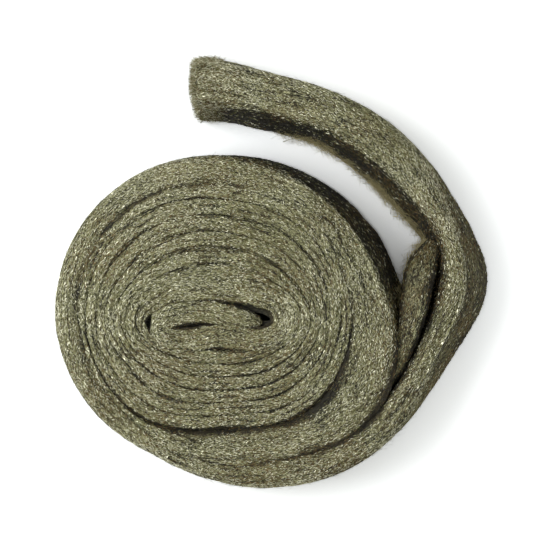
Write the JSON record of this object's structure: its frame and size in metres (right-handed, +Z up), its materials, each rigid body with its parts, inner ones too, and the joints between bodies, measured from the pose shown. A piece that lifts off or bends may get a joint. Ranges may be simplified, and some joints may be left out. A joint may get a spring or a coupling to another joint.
{
  "type": "steel wool roll",
  "caption": "Roll of steel wool ribbon lying on its flat end, wound in pressed ovals round a folded core, with a free tail that bends away, curves back round the roll and ends in a blunt cut.",
  "frame": {"origin": "middle of the whole footprint, tail included, on the bench", "axes": "+Z up out of the bench, through the wound end; +X towards the sharp bend where the tail leaves the roll; +Y towards the side the tail's cut end lies on"},
  "size_m": [0.1762, 0.1746, 0.04],
  "materials": {
    "steel_wool": "matte tangle of fine steel fibres, brownish grey"
  },
  "bodies": {
    "root": {"steel_wool_roll": "steel_wool"}
  },
  "joints": []
}
